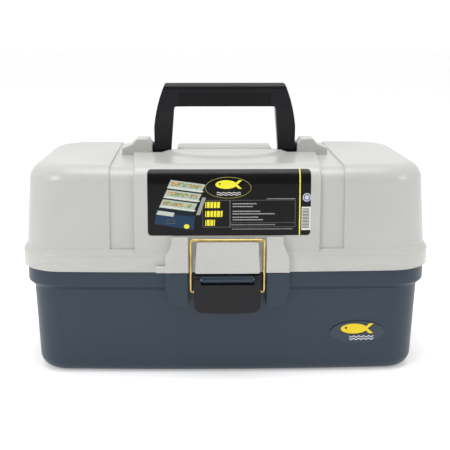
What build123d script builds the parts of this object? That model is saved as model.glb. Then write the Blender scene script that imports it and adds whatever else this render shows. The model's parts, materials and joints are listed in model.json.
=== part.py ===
"""Three-tray fishing tackle box: a moulded tub and domed lid, a folding carry handle, an
over-centre front latch, and cantilever trays that swing up and back with the lid.

Frame: millimetres, +Z up, front of the box at -Y, origin at the bottom centre of the tub.
"""
import os
from math import atan2, cos, degrees, hypot, radians, sin

from build123d import *

os.makedirs("parts", exist_ok=True)

# ---- driving dimensions -------------------------------------------------------------

# plan of the lid rim, the widest part of the box
rim_half_length = 231.5
rim_half_depth = 118.4
side_bow = 6.6
rim_corner = 52.0

# heights of the tub and lid
band_top = 124.0
band_height = 17.0
band_flare = 6.0
lid_gap = 0.4
flange_height = 17.6
flare_height = 7.0
rim_round = 3.0
flare_tuck = 1.0
merge_depth = 1.0
cut_margin = 20.0
lid_height = 114.8

# lid form
face_step = 3.7
lid_corner = 50.0
lid_slope = 0.07
lid_top_round = 20.0
lid_wall = 3.0
crest_round = 1.3
block_proud = 1.5
channel_depth = 2.0
channel_inner_front = 101.5
channel_inner_back = 122.0
channel_outer_front = 128.0
channel_outer_back = 132.0

# tub form, set in from the lid rim
band_end_inset = 5.3
band_side_inset = 3.8
band_width = 6.7
band_proud = 5.6
tub_slope = 0.025
tub_depth_slope = 0.045
tub_corner = 34.0
tub_inner_corner = 41.0
tub_bottom_round = 16.0
tub_wall = 3.0
band_round = 2.5
tongue_height = 7.0
tongue_clearance = 1.1
seal_width = 3.4
seal_groove_depth = 2.4
seal_gap = 0.1

# lid hinge
hinge_stand_off = 13.1
hinge_drop = 2.0
hinge_offset = 130.0
hinge_pin_radius = 2.0
knuckle_wall = 3.5
knuckle_length = 14.0
knuckle_gap = 0.4
pin_clearance = 0.05
press_clearance = 0.01

# carry handle
handle_pivot_rise = 5.8
handle_half_span = 84.0
handle_shoulder_draw = 3.0
handle_top_draw = 13.3
handle_leg = 19.5
handle_leg_draw = 4.5
handle_shoulder = 44.5
handle_reach = 76.5
handle_bar = 27.1
handle_depth = 20.0
handle_foot_radius = 8.0
handle_edge = 3.0
handle_crown = 7.0
grip_panel_height = 15.9
grip_panel_margin = 6.0
grip_panel_depth = 1.2
trunnion_radius = 4.0
trunnion_collar_radius = 6.5
trunnion_length = 16.0
side_play = 0.5
boss_gap = 2.6
boss_lean = 4.4
boss_width = 19.0
boss_step = 4.5
boss_ramp = 17.0
boss_fall = 5.0
boss_shoulder_rise = 1.5
boss_height = 11.8
boss_half_depth = 13.0
boss_round = 1.8
finger_room = 8.0
leg_room = 7.5
foot_room = 4.0
bar_room = 2.4
pad_centre_y = 9.0
pad_foot_radius = 88.0
pad_top_radius = 70.0
pad_rise = 4.2
pad_seat = 2.0

# front latch, with its places ahead of the rim and below the top of the tub
latch_stand_off = 9.1
latch_drop = 6.8
latch_pin_radius = 2.0
latch_pin_inset = 2.5
latch_boss_wall = 2.7
latch_boss_half = 28.4
lever_half = 36.5
lever_ear = 7.3
lever_wall = 3.5
lever_plate = 3.6
lever_cheek = 4.0
lever_cheek_depth = 11.0
lever_length = 38.2
lever_corner = 9.0
lever_bottom_bow = 2.0
lever_top_gap = 0.7
bail_pivot_back = 1.5
bail_pivot_drop = 14.9
bail_bar_back = 3.5
bail_rest_gap = 0.3
bail_side_gap = 3.5
wire_radius = 1.45
wire_bend = 3.6
bail_grip = 2.6
catch_half_top = 33.5
catch_half_bottom = 35.5
catch_height = 35.0
catch_stand_off = 13.6
catch_wall = 3.0
catch_corner = 2.0
catch_edge = 1.0
shroud_gap = 2.4
shroud_stand_off = 11.6
shroud_height = 40.2
shroud_width_top = 18.6
shroud_width_bottom = 25.6
shroud_shoulder = 8.0
shroud_elbow = 6.0
shroud_round = 1.6
lip_left = -79.0
lip_right = -46.0
lip_height = 7.6
lip_stand_off = 11.1
lip_round = 2.2
side_block_inset = 1.0
side_block_taper = 5.8
side_block_drop = 1.0
side_block_straight = 18.0
side_block_height = 37.0
side_block_stand_off = 8.1

# tray lift: equal parallel arms, one pitch of arm per tray
arm_angle = 42.0
tray_pitch = 30.0
first_reach = 43.0
arm_drop = 16.0
front_arm_y = 15.0
arm_spacing = 24.0
arm_wall_gap = 12.7
arm_thickness = 2.5
arm_margin = 4.0
rivet_radius = 2.0
rivet_head_margin = 2.0
rivet_head = 1.4
rivet_gap = 0.2
rivet_grip = 7.0
rivet_skin = 1.0
rivet_end_gap = 0.5
link_rivet_grip = 3.0
link_reach = 75.0
link_gap = 2.2
link_margin = 3.0
link_thickness = 2.4
pivot_boss_wall = 5.5
lid_boss_wall = 5.0

# trays
tray_arm_gap = 3.8
tray_wall_gap = 2.0
tray_depth = 118.0
tray_height = 28.5
tray_pivot_height = 15.0
tray_corner = 26.0
tray_wall = 1.8
tray_bottom_round = 3.0
rib_offset = -6.0
divider_thickness = 1.6
divider_clearance = 0.15
divider_drop = 3.0
front_bays = (4, 5, 3)
back_bays = (3, 2, 4)

# label and badge
label_centre = 2.0
label_length = 177.0
label_rise = 40.5
label_height = 71.1
label_corner = 4.0
film_thickness = 0.3
film_gap = 0.02
badge_x = 148.0
badge_z = 49.0
badge_half_length = 31.0
badge_half_height = 13.0
badge_thickness = 1.2

# ---- sizes that follow from them ----------------------------------------------------

band_bottom = band_top - band_height
tub_wall_top = band_bottom - band_flare
lid_bottom = band_top + lid_gap
lid_inside_bottom = lid_bottom + lid_wall
flange_top = lid_bottom + flange_height
lid_top = lid_bottom + lid_height
beyond = rim_half_depth + side_bow + cut_margin

band_half_length = rim_half_length - band_end_inset
band_half_depth = rim_half_depth - band_side_inset
tub_half_length = band_half_length - band_width
tub_half_depth = band_half_depth - band_proud
tongue_corner = tub_inner_corner + tub_wall

hinge_y = rim_half_depth + hinge_stand_off
hinge_z = band_top - hinge_drop
knuckle_radius = hinge_pin_radius + knuckle_wall
hinge_places = (-hinge_offset, hinge_offset)
knuckle_pitch = knuckle_length + knuckle_gap
base_knuckles = [place + shift * knuckle_pitch for place in hinge_places for shift in (-1, 1)]

handle_pivot_z = lid_top + handle_pivot_rise
handle_shoulder_half_span = handle_half_span - handle_shoulder_draw
handle_top_half_span = handle_half_span - handle_top_draw
handle_inner_half_span = handle_half_span - handle_leg
handle_inner_top_half_span = handle_inner_half_span - handle_leg_draw
boss_inner = handle_half_span + boss_gap
boss_top = handle_pivot_z + boss_height
boss_shoulder = handle_pivot_z + trunnion_radius + boss_shoulder_rise
recess_floor = handle_pivot_z - handle_depth / 2 - finger_room
slot_inner = handle_inner_half_span - leg_room
slot_front = -handle_foot_radius - foot_room
plateau_back = handle_reach - handle_bar - bar_room
pad_top = lid_top + pad_rise

latch_pivot_y = -rim_half_depth - latch_stand_off
latch_pivot_z = band_top - latch_drop
latch_boss_radius = latch_pin_radius + latch_boss_wall
lever_radius = latch_pin_radius + lever_wall
lever_bottom = latch_pivot_z - lever_length
lever_ear_inner = lever_half - lever_ear
catch_front = -rim_half_depth - catch_stand_off
catch_shelf = lid_bottom + catch_height
bail_pivot_y = latch_pivot_y + bail_pivot_back
bail_pivot_z = latch_pivot_z - bail_pivot_drop
bail_bar_y = catch_front + bail_bar_back
bail_bar_z = catch_shelf + wire_radius + bail_rest_gap
bail_half = lever_half + bail_side_gap
shroud_inner = bail_half + shroud_gap
shroud_outer_top = shroud_inner + shroud_width_top
shroud_outer_bottom = shroud_inner + shroud_width_bottom
shroud_front = -rim_half_depth - shroud_stand_off
shroud_top = lid_bottom + shroud_height
lip_front = -rim_half_depth - lip_stand_off
side_block_inner = shroud_inner + side_block_inset
side_block_outer_top = shroud_outer_bottom
side_block_outer_bottom = side_block_outer_top - side_block_taper
side_block_head = band_top - side_block_drop
side_block_top = side_block_head - side_block_straight
side_block_bottom = side_block_head - side_block_height
side_block_front = -rim_half_depth - side_block_stand_off

arm_pivot_z = band_top - arm_drop
arm_plane = tub_half_length - tub_wall - arm_wall_gap
arm_outer = arm_plane + arm_thickness
arm_half_width = rivet_radius + arm_margin
arm_step = tray_pitch / sin(radians(arm_angle))
tray_reaches = [first_reach + arm_step * level for level in range(3)]
rear_arm_y = front_arm_y + arm_spacing
rivet_head_radius = rivet_radius + rivet_head_margin
tub_boss_end = tub_half_length - rivet_skin
link_plane = arm_outer + link_gap
link_outer = link_plane + link_thickness
link_half_width = rivet_radius + link_margin
link_rivet_end = link_outer + rivet_gap + link_rivet_grip
pivot_boss_radius = rivet_radius + pivot_boss_wall
lid_boss_radius = rivet_radius + lid_boss_wall

tray_half_length = arm_plane - tray_arm_gap
tray_front = tub_wall + tray_wall_gap - tub_half_depth
label_bottom = lid_bottom + label_rise


# ---- shared forms -------------------------------------------------------------------

def bowed_plan(height, half_length, half_depth, corner):
    """Plan outline at a height: straight ends, long sides bowed outward, round corners."""
    with BuildSketch(Plane.XY.offset(height)) as plan:
        with BuildLine():
            Line((half_length, -half_depth), (half_length, half_depth))
            ThreePointArc(
                (half_length, half_depth), (0, half_depth + side_bow), (-half_length, half_depth)
            )
            Line((-half_length, half_depth), (-half_length, -half_depth))
            ThreePointArc(
                (-half_length, -half_depth), (0, -half_depth - side_bow), (half_length, -half_depth)
            )
        make_face()
        fillet(plan.vertices(), corner)
    return plan.sketch


def lid_form(inset, bottom):
    """Domed body of the lid from a bottom height up, with every face moved in by inset."""
    sections = []
    for height in (bottom, lid_top - inset):
        drawn_in = face_step + inset + lid_slope * (height - flange_top)
        sections += bowed_plan(
            height, rim_half_length - drawn_in, rim_half_depth - drawn_in, lid_corner - inset
        ).faces()
    with BuildPart() as form:
        loft(sections, ruled=True)
        fillet(form.faces().sort_by(Axis.Z)[-1].edges(), lid_top_round - inset)
    return form.part


def middle_strip(front_half, back_half):
    """Upright solid over the middle of the lid that widens from the front to the back."""
    turn = -rim_half_depth + lid_top_round
    edge = [(front_half, -beyond), (front_half, turn), (back_half, beyond)]
    with BuildPart() as strip:
        with BuildSketch():
            with BuildLine():
                Polyline(*edge, *[(-x, y) for x, y in reversed(edge)], close=True)
            make_face()
        extrude(amount=lid_top + lid_height)
    return strip.part


def round_crest(form, bottom, radius):
    """Round the edges where the upright channel walls of a lid form meet its skin."""
    walls = form.faces().filter_by(GeomType.PLANE)
    walls = walls.filter_by(lambda f: abs(f.normal_at().X) > 0.9 and abs(f.normal_at().Z) < 0.01)
    crest = walls.edges().filter_by(lambda e: e.bounding_box().max.Z > bottom + radius)
    fillet(crest, radius)


def stepped_lid(inset, bottom, edge_round):
    """Lid body with a proud middle block between two channels that run over the top."""
    with BuildPart() as block:
        add(lid_form(inset - block_proud, bottom))
        add(
            middle_strip(channel_inner_front - inset, channel_inner_back - inset),
            mode=Mode.INTERSECT,
        )
        if edge_round:
            round_crest(block, bottom, edge_round)
    with BuildPart() as ends:
        add(lid_form(inset, bottom))
        add(
            middle_strip(channel_outer_front + inset, channel_outer_back + inset),
            mode=Mode.SUBTRACT,
        )
        if edge_round:
            round_crest(ends, bottom, edge_round)
    with BuildPart() as body:
        add(lid_form(inset + channel_depth, bottom))
        add(ends.part)
        add(block.part)
    return body.part


def tub_form(inset, bottom, top, corner, bottom_round):
    """Drafted body of the tub between two heights, with its walls moved in by inset."""
    sections = []
    for height in (bottom, top):
        drawn_in = tub_wall_top - height
        sections += bowed_plan(
            height,
            tub_half_length - inset - tub_slope * drawn_in,
            tub_half_depth - inset - tub_depth_slope * drawn_in,
            corner,
        ).faces()
    with BuildPart() as form:
        loft(sections, ruled=True)
        if bottom_round:
            fillet(form.faces().sort_by(Axis.Z)[0].edges(), bottom_round)
    return form.part


def seal_form(clearance, top):
    """Ring in the seal groove, grown by a clearance, from the groove floor to a height."""
    inner = tongue_clearance - clearance
    outer = tongue_clearance + seal_width + clearance
    floor = band_top - seal_groove_depth
    with BuildPart() as ring:
        for grown, mode in ((outer, Mode.ADD), (inner, Mode.SUBTRACT)):
            plan = bowed_plan(
                floor, tub_half_length + grown, tub_half_depth + grown, tongue_corner + grown
            )
            extrude(plan, amount=top - floor, mode=mode)
    return ring.part


def rods_along(y, z, radius, middles, length):
    """Rods parallel to the length of the box at one (y, z) place."""
    with BuildPart() as rods:
        for middle in middles:
            with BuildSketch(Plane.YZ.offset(middle - length / 2)):
                with Locations((y, z)):
                    Circle(radius)
            extrude(amount=length)
    return rods.part


def side_rods(places, radius, inner, outer):
    """Rods at (y, z) places on both sides of the box, between two half widths."""
    with BuildPart() as rods:
        for start in (inner, -outer):
            with BuildSketch(Plane.YZ.offset(start)):
                with Locations(*places):
                    Circle(radius)
            extrude(amount=outer - inner)
    return rods.part


def arm_point(pivot_y, reach):
    """Place on a closed arm, as (y, z), at a reach from its pivot on the tub."""
    angle = radians(arm_angle)
    return pivot_y - reach * cos(angle), arm_pivot_z + reach * sin(angle)


def flat_bar(start, end, half_width, inner, thickness, side):
    """Flat bar with round ends between two (y, z) places, in a plane across one side."""
    plane_x = inner if side > 0 else -inner - thickness
    with BuildPart() as bar:
        with BuildSketch(Plane.YZ.offset(plane_x)):
            with Locations(((start[0] + end[0]) / 2, (start[1] + end[1]) / 2)):
                SlotCenterToCenter(
                    hypot(end[0] - start[0], end[1] - start[1]),
                    2 * half_width,
                    rotation=degrees(atan2(end[1] - start[1], end[0] - start[0])),
                )
        extrude(amount=thickness)
    return bar.part


def write_node(solid, name):
    """Label a finished piece and write it as its own file."""
    solid.label = name
    export_step(solid, f"parts/{name}.step")


front_tray_pivots = [arm_point(front_arm_y, reach) for reach in tray_reaches]
rear_tray_pivots = [arm_point(rear_arm_y, reach) for reach in tray_reaches]
tub_pivots = [(front_arm_y, arm_pivot_z), (rear_arm_y, arm_pivot_z)]
link_start = arm_point(rear_arm_y, link_reach)
link_end = (link_start[0] + hinge_y - rear_arm_y, link_start[1] + hinge_z - arm_pivot_z)


# ---- tub ----------------------------------------------------------------------------

with BuildPart() as tub_band:
    wall_plan = bowed_plan(tub_wall_top, tub_half_length, tub_half_depth, tub_corner)
    band_plan = bowed_plan(
        band_bottom, band_half_length, band_half_depth, tub_corner + band_width
    )
    loft([wall_plan.face(), band_plan.face()], ruled=True)
    extrude(band_plan, amount=band_top - band_bottom)
    fillet(tub_band.edges().filter_by_position(Axis.Z, band_bottom, band_bottom), band_round)

with BuildPart() as base_tub:
    add(tub_form(0, 0, tub_wall_top, tub_corner, tub_bottom_round))
    add(tub_band.part)
    extrude(
        bowed_plan(band_top, tub_half_length, tub_half_depth, tongue_corner), amount=tongue_height
    )
    # side blocks of the latch recess
    with BuildSketch(Plane.XZ.offset(tub_half_depth)):
        for side in (-1, 1):
            with BuildLine():
                Polyline(
                    (side * side_block_inner, side_block_bottom),
                    (side * side_block_outer_bottom, side_block_bottom),
                    (side * side_block_outer_top, side_block_top),
                    (side * side_block_outer_top, side_block_head),
                    (side * side_block_inner, side_block_head),
                    close=True,
                )
            make_face()
    extrude(amount=-side_block_front - tub_half_depth)
    # boss that carries the latch pin
    with BuildSketch(Plane.YZ.offset(-latch_boss_half)):
        with Locations((latch_pivot_y, latch_pivot_z)):
            Circle(latch_boss_radius)
            Rectangle(
                -tub_half_depth - latch_pivot_y,
                2 * latch_boss_radius,
                align=(Align.MIN, Align.CENTER),
            )
    extrude(amount=2 * latch_boss_half)
    # knuckles of the lid hinge and their webs
    add(rods_along(hinge_y, hinge_z, knuckle_radius, base_knuckles, knuckle_length))
    for middle in base_knuckles:
        with BuildSketch(Plane.YZ.offset(middle - knuckle_length / 2)):
            with Locations((hinge_y, hinge_z)):
                Rectangle(hinge_y - tub_half_depth, knuckle_radius, align=(Align.MAX, Align.MAX))
        extrude(amount=knuckle_length)
    # hollow, seal groove and the holes for pins and rivets
    add(
        tub_form(tub_wall, tub_wall, tub_wall_top, tub_inner_corner, tub_bottom_round - tub_wall),
        mode=Mode.SUBTRACT,
    )
    mouth_plan = bowed_plan(
        tub_wall_top, tub_half_length - tub_wall, tub_half_depth - tub_wall, tub_inner_corner
    )
    extrude(mouth_plan, amount=band_top + 2 * tongue_height - tub_wall_top, mode=Mode.SUBTRACT)
    add(seal_form(0, band_top + tongue_height), mode=Mode.SUBTRACT)
    add(side_rods(tub_pivots, pivot_boss_radius, arm_outer + rivet_gap, tub_boss_end))
    add(
        side_rods(tub_pivots, rivet_radius + press_clearance, arm_plane, tub_boss_end - rivet_skin),
        mode=Mode.SUBTRACT,
    )
    add(
        rods_along(
            hinge_y, hinge_z, hinge_pin_radius + press_clearance, hinge_places, 4 * knuckle_length
        ),
        mode=Mode.SUBTRACT,
    )
    add(
        rods_along(
            latch_pivot_y, latch_pivot_z, latch_pin_radius + press_clearance, [0], 2 * lever_half
        ),
        mode=Mode.SUBTRACT,
    )
write_node(base_tub.part, "base_tub")

write_node(seal_form(-press_clearance, lid_bottom - seal_gap), "seal_ring")

write_node(
    rods_along(
        hinge_y, hinge_z, hinge_pin_radius, hinge_places, 3 * knuckle_length + 2 * knuckle_gap
    ),
    "hinge_pins",
)

latch_pin_length = 2 * (lever_half - latch_pin_inset)
write_node(
    rods_along(latch_pivot_y, latch_pivot_z, latch_pin_radius, [0], latch_pin_length), "latch_pin"
)

with BuildPart() as base_arm_rivets:
    head_face = arm_plane - rivet_gap
    rivet_tail = tub_boss_end - rivet_skin - rivet_end_gap
    add(side_rods(tub_pivots, rivet_radius, head_face, rivet_tail))
    add(side_rods(tub_pivots, rivet_head_radius, head_face - rivet_head, head_face))
write_node(base_arm_rivets.part, "base_arm_rivets")

with BuildPart() as base_badge:
    with BuildSketch(Plane.XZ):
        with Locations((badge_x, badge_z)):
            Ellipse(badge_half_length, badge_half_height)
    extrude(amount=beyond)
    add(
        tub_form(-badge_thickness, 0, tub_wall_top, tub_corner + badge_thickness, 0),
        mode=Mode.INTERSECT,
    )
    add(tub_form(-film_gap, 0, tub_wall_top, tub_corner + film_gap, 0), mode=Mode.SUBTRACT)
write_node(base_badge.part, "base_badge")


# ---- lid ----------------------------------------------------------------------------

face_back = -rim_half_depth + face_step + lid_wall

with BuildPart() as link_bosses:
    add(side_rods([link_end], lid_boss_radius, link_outer + rivet_gap, rim_half_length))
    add(lid_form(lid_wall / 2, lid_bottom), mode=Mode.INTERSECT)

with BuildPart() as lid_rim:
    rim_plan = bowed_plan(lid_bottom, rim_half_length, rim_half_depth, rim_corner)
    extrude(rim_plan, amount=flange_height)
    flare_foot = bowed_plan(flange_top, rim_half_length, rim_half_depth, rim_corner)
    flare_head = bowed_plan(
        flange_top + flare_height,
        rim_half_length - face_step - flare_tuck,
        rim_half_depth - face_step - flare_tuck,
        lid_corner,
    )
    loft([flare_foot.face(), flare_head.face()], ruled=True)
    fillet(lid_rim.edges().filter_by_position(Axis.Z, flange_top, flange_top), rim_round)

with BuildPart() as pivot_bosses:
    with BuildSketch(Plane.XZ.offset(-boss_half_depth)) as boss_outline:
        for side in (-1, 1):
            with BuildLine():
                Polyline(
                    (side * boss_inner, lid_top - lid_wall),
                    (side * boss_inner, boss_shoulder),
                    (side * (boss_inner + boss_lean), boss_top),
                    (side * (boss_inner + boss_width), boss_top),
                    (side * (boss_inner + boss_width + boss_step), boss_shoulder),
                    (side * (boss_inner + boss_width + boss_ramp), boss_shoulder - boss_fall),
                    (side * (boss_inner + boss_width + boss_ramp), lid_top - lid_wall),
                    close=True,
                )
            make_face()
        fillet(boss_outline.vertices().group_by(Axis.Y)[-1], boss_round)
    extrude(amount=2 * boss_half_depth)
    faces = pivot_bosses.faces().filter_by(Axis.Y)
    fillet(faces.edges().filter_by(lambda e: e.bounding_box().max.Z > lid_top), boss_round)

with BuildPart() as latch_shrouds:
    with BuildSketch(Plane.XZ.offset(-face_back)) as shroud_outline:
        for side in (-1, 1):
            with BuildLine():
                Polyline(
                    (side * shroud_inner, lid_bottom),
                    (side * shroud_inner, shroud_top),
                    (side * shroud_outer_top, shroud_top),
                    (side * shroud_outer_top, shroud_top - shroud_shoulder),
                    (side * shroud_outer_bottom, flange_top),
                    (side * shroud_outer_bottom, lid_bottom),
                    close=True,
                )
            make_face()
        fillet(shroud_outline.vertices().group_by(Axis.Y)[-1], shroud_round)
        fillet(
            shroud_outline.vertices().filter_by(
                lambda v: lid_bottom + lid_wall < v.Y < shroud_top - shroud_round
            ),
            shroud_elbow,
        )
    extrude(amount=face_back - shroud_front)
    front = latch_shrouds.faces().filter_by(Axis.Y).group_by(Axis.Y)[0]
    fillet(front.edges(), shroud_round)

with BuildPart() as thumb_lip:
    with BuildSketch(Plane.XZ.offset(-face_back)):
        with Locations(((lip_left + lip_right) / 2, lid_bottom)):
            Rectangle(lip_right - lip_left, lip_height, align=(Align.CENTER, Align.MIN))
    extrude(amount=face_back - lip_front)
    fillet(thumb_lip.edges().filter_by(Axis.Y), lip_round)
    fillet(thumb_lip.faces().sort_by(Axis.Y)[0].edges(), lip_round)

with BuildPart() as catch_plate:
    with BuildSketch(Plane.XZ.offset(-face_back)) as catch_outline:
        with BuildLine():
            Polyline(
                (-catch_half_bottom, lid_bottom),
                (catch_half_bottom, lid_bottom),
                (catch_half_top, catch_shelf),
                (-catch_half_top, catch_shelf),
                close=True,
            )
        make_face()
        fillet(catch_outline.vertices(), catch_corner)
    extrude(amount=face_back - catch_front)
    fillet(catch_plate.faces().sort_by(Axis.Y)[0].edges(), catch_edge)

with BuildPart() as lid_shell:
    add(stepped_lid(0, lid_bottom, crest_round))
    add(lid_rim.part)
    # shallow sloping pad that carries the handle
    with BuildSketch(Plane.XY.offset(lid_top - pad_seat)):
        with Locations((0, pad_centre_y)):
            Circle(pad_foot_radius)
    with BuildSketch(Plane.XY.offset(pad_top)):
        with Locations((0, pad_centre_y)):
            Circle(pad_top_radius)
    loft()
    for raised in (pivot_bosses, latch_shrouds, thumb_lip, catch_plate):
        add(raised.part)
    # inside of the lid
    add(stepped_lid(lid_wall, lid_inside_bottom, 0), mode=Mode.SUBTRACT)
    ledge_plan = bowed_plan(
        lid_bottom,
        tub_half_length + tongue_clearance,
        tub_half_depth + tongue_clearance,
        tongue_corner + tongue_clearance,
    )
    extrude(ledge_plan, amount=lid_wall + merge_depth, mode=Mode.SUBTRACT)
    # floor of the handle recess, then the recess and the two slots beside the pad
    recess_back = rim_half_depth - face_step - lid_wall
    with BuildSketch(Plane.XY.offset(recess_floor - lid_wall)):
        with Locations((0, slot_front - lid_wall)):
            Rectangle(
                2 * (boss_inner + lid_wall),
                recess_back - slot_front + lid_wall,
                align=(Align.CENTER, Align.MIN),
            )
    extrude(amount=lid_top - recess_floor)
    with BuildSketch(Plane.XY.offset(recess_floor)):
        with Locations((0, plateau_back)):
            Rectangle(2 * boss_inner, beyond, align=(Align.CENTER, Align.MIN))
        for side in (-1, 1):
            with Locations((side * (slot_inner + boss_inner) / 2, slot_front)):
                Rectangle(boss_inner - slot_inner, beyond, align=(Align.CENTER, Align.MIN))
    extrude(amount=lid_height, mode=Mode.SUBTRACT)
    trunnion_span = 2 * (handle_half_span + trunnion_length + side_play)
    add(
        rods_along(0, handle_pivot_z, trunnion_radius + pin_clearance, [0], trunnion_span),
        mode=Mode.SUBTRACT,
    )
    # hollow behind the catch plate, open below
    catch_floor = rim_half_depth + side_bow
    with BuildSketch(Plane.XZ.offset(catch_floor)):
        with Locations((0, lid_bottom)):
            Rectangle(
                2 * (catch_half_top - catch_wall),
                catch_shelf - catch_wall - lid_bottom,
                align=(Align.CENTER, Align.MIN),
            )
    extrude(amount=-catch_front - catch_wall - catch_floor, mode=Mode.SUBTRACT)
    # knuckles of the lid hinge
    add(rods_along(hinge_y, hinge_z, knuckle_radius, hinge_places, knuckle_length))
    for middle in hinge_places:
        with BuildSketch(Plane.YZ.offset(middle - knuckle_length / 2)):
            with Locations((hinge_y, lid_bottom)):
                Rectangle(
                    hinge_y - rim_half_depth + lid_wall / 2,
                    flange_height / 2,
                    align=(Align.MAX, Align.MIN),
                )
        extrude(amount=knuckle_length)
    add(
        rods_along(
            hinge_y, hinge_z, hinge_pin_radius + pin_clearance, hinge_places, 4 * knuckle_length
        ),
        mode=Mode.SUBTRACT,
    )
    # bosses for the lift links, inside the ends
    add(link_bosses.part)
    add(
        side_rods(
            [link_end], rivet_radius + press_clearance, link_outer, link_rivet_end + rivet_end_gap
        ),
        mode=Mode.SUBTRACT,
    )
write_node(lid_shell.part, "lid_shell")

with BuildPart() as lid_link_rivets:
    add(side_rods([link_end], rivet_radius, link_plane - rivet_gap, link_rivet_end))
    add(
        side_rods(
            [link_end], rivet_head_radius, link_plane - rivet_gap - rivet_head, link_plane - rivet_gap
        )
    )
write_node(lid_link_rivets.part, "lid_link_rivets")

with BuildPart() as front_label:
    with BuildSketch(Plane.XZ):
        with Locations((label_centre, label_bottom + label_height / 2)):
            RectangleRounded(label_length, label_height, label_corner)
    extrude(amount=beyond)
    add(lid_form(-block_proud - film_thickness, lid_bottom), mode=Mode.INTERSECT)
    add(lid_form(-block_proud - film_gap, lid_bottom), mode=Mode.SUBTRACT)
write_node(front_label.part, "front_label")


# ---- carry handle -------------------------------------------------------------------

handle_top = handle_pivot_z + handle_reach
shoulder_z = handle_pivot_z + handle_shoulder
bar_bottom = handle_top - handle_bar
foot_z = handle_pivot_z - handle_foot_radius

with BuildPart() as carry_handle:
    with BuildSketch(Plane.XZ.offset(-handle_depth / 2)) as handle_front:
        with BuildLine():
            for side in (-1, 1):
                ThreePointArc(
                    (side * handle_half_span, foot_z),
                    (side * handle_shoulder_half_span, shoulder_z),
                    (side * handle_top_half_span, handle_top),
                )
                Line(
                    (side * handle_half_span, foot_z), (side * handle_inner_half_span, foot_z)
                )
                Line(
                    (side * handle_inner_half_span, foot_z),
                    (side * handle_inner_top_half_span, bar_bottom),
                )
            Line((-handle_top_half_span, handle_top), (handle_top_half_span, handle_top))
            Line(
                (-handle_inner_top_half_span, bar_bottom), (handle_inner_top_half_span, bar_bottom)
            )
        make_face()
        fillet(handle_front.vertices().group_by(Axis.Y)[-1], handle_edge)
        fillet(
            handle_front.vertices().filter_by(lambda v: abs(v.Y - bar_bottom) < 1e-6), handle_edge
        )
    extrude(amount=handle_depth)
    # legs taper to round feet on the pivot axis
    with BuildSketch(Plane.YZ.offset(-handle_half_span)) as handle_side:
        with BuildLine():
            Line((handle_foot_radius, handle_pivot_z), (handle_depth / 2, shoulder_z))
            Line((handle_depth / 2, shoulder_z), (handle_depth / 2, handle_top))
            Line((handle_depth / 2, handle_top), (-handle_depth / 2, handle_top))
            Line((-handle_depth / 2, handle_top), (-handle_depth / 2, shoulder_z))
            Line((-handle_depth / 2, shoulder_z), (-handle_foot_radius, handle_pivot_z))
            ThreePointArc(
                (-handle_foot_radius, handle_pivot_z),
                (0, handle_pivot_z - handle_foot_radius),
                (handle_foot_radius, handle_pivot_z),
            )
        make_face()
        fillet(handle_side.vertices().group_by(Axis.Y)[-1], handle_crown)
    extrude(amount=2 * handle_half_span, mode=Mode.INTERSECT)
    # shallow panel in the lower front and back of the grip
    for face_y in (handle_depth / 2, -handle_depth / 2 + grip_panel_depth):
        with BuildSketch(Plane.XZ.offset(-face_y)):
            with Locations((0, bar_bottom)):
                Rectangle(
                    2 * (handle_inner_top_half_span - grip_panel_margin),
                    grip_panel_height,
                    align=(Align.CENTER, Align.MIN),
                )
        extrude(amount=grip_panel_depth, mode=Mode.SUBTRACT)
    # pivot collars and trunnions
    collar_span = boss_inner - side_play - handle_half_span
    for side in (-1, 1):
        for radius, length in (
            (trunnion_collar_radius, collar_span), (trunnion_radius, trunnion_length)
        ):
            start = handle_half_span - merge_depth if side > 0 else -handle_half_span - length
            with BuildSketch(Plane.YZ.offset(start)):
                with Locations((0, handle_pivot_z)):
                    Circle(radius)
            extrude(amount=length + merge_depth)
write_node(carry_handle.part, "carry_handle")


# ---- front latch --------------------------------------------------------------------

lever_front = latch_pivot_y - lever_radius
lever_top = latch_pivot_z - latch_boss_radius - lever_top_gap

with BuildPart() as latch_lever:
    with BuildSketch(Plane.XZ.offset(-lever_front - lever_plate)) as plate_outline:
        with BuildLine():
            ThreePointArc(
                (-lever_half, lever_bottom + lever_bottom_bow),
                (0, lever_bottom),
                (lever_half, lever_bottom + lever_bottom_bow),
            )
            Polyline(
                (lever_half, lever_bottom + lever_bottom_bow),
                (lever_half, lever_top),
                (-lever_half, lever_top),
                (-lever_half, lever_bottom + lever_bottom_bow),
            )
        make_face()
        fillet(plate_outline.vertices().sort_by(Axis.Y)[:2], lever_corner)
    extrude(amount=lever_plate)
    # ears round the pin, and cheeks that carry the bail
    for side in (-1, 1):
        start = lever_ear_inner if side > 0 else -lever_half
        with BuildSketch(Plane.YZ.offset(start)):
            with Locations((latch_pivot_y, latch_pivot_z)):
                Circle(lever_radius)
            with Locations((lever_front, latch_pivot_z)):
                Rectangle(
                    lever_radius,
                    latch_pivot_z - lever_top + merge_depth,
                    align=(Align.MIN, Align.MAX),
                )
        extrude(amount=lever_half - lever_ear_inner)
        start = lever_half - lever_cheek if side > 0 else -lever_half
        with BuildSketch(Plane.YZ.offset(start)):
            with Locations((lever_front + lever_plate / 2, lever_top + merge_depth)):
                Rectangle(
                    lever_cheek_depth - lever_plate / 2,
                    lever_top + merge_depth - bail_pivot_z + 3 * wire_radius,
                    align=(Align.MIN, Align.MAX),
                )
        extrude(amount=lever_cheek)
    add(
        rods_along(
            latch_pivot_y, latch_pivot_z, latch_pin_radius + pin_clearance, [0], 2 * lever_half
        ),
        mode=Mode.SUBTRACT,
    )
    add(
        rods_along(
            bail_pivot_y, bail_pivot_z, wire_radius + pin_clearance, [0], 2 * bail_half
        ),
        mode=Mode.SUBTRACT,
    )
write_node(latch_lever.part, "latch_lever")

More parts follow.
